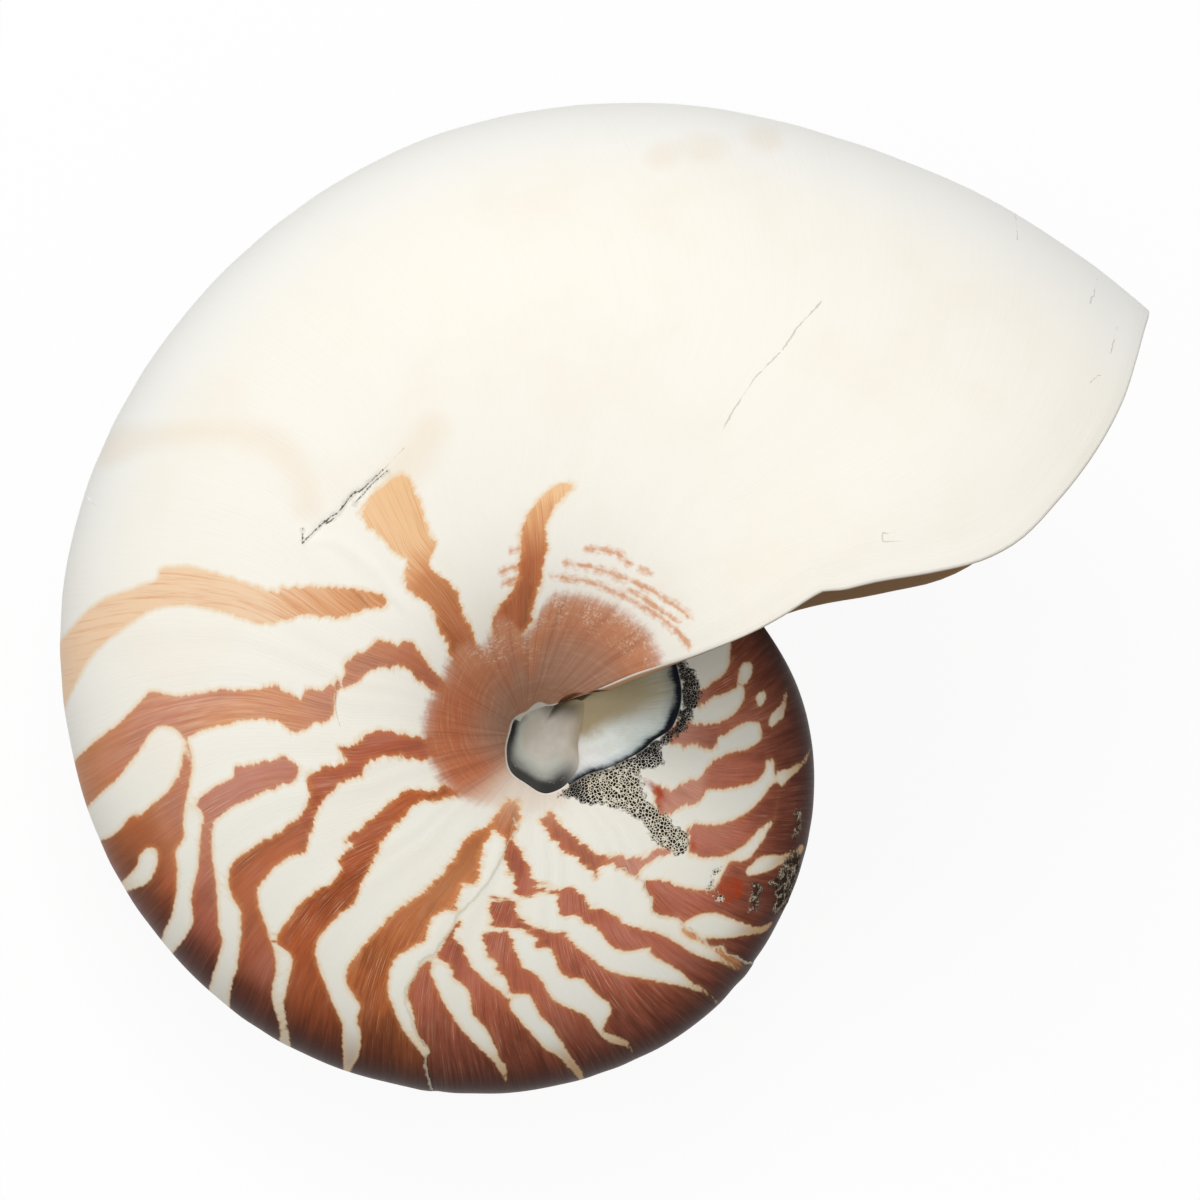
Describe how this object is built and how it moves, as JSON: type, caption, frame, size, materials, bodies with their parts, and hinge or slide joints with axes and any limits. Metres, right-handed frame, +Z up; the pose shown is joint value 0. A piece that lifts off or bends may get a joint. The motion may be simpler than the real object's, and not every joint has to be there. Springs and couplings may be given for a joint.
{
  "type": "chambered nautilus shell",
  "caption": "Coiled nautilus shell lying on one flank, with an open body chamber, a flared lip and closed umbilici.",
  "frame": {"origin": "centre of the bounding box's bottom face, on the surface the shell lies on", "axes": "+Z up through the shell's upper flank; +X along the longest side, towards the mouth; +Y from the coil towards the back of the body chamber"},
  "size_m": [0.1554, 0.1404, 0.0867],
  "materials": {
    "shell": "semi-gloss, ivory with rust-brown stripes, pearly inside"
  },
  "bodies": {
    "root": {"shell": "shell"}
  },
  "joints": []
}
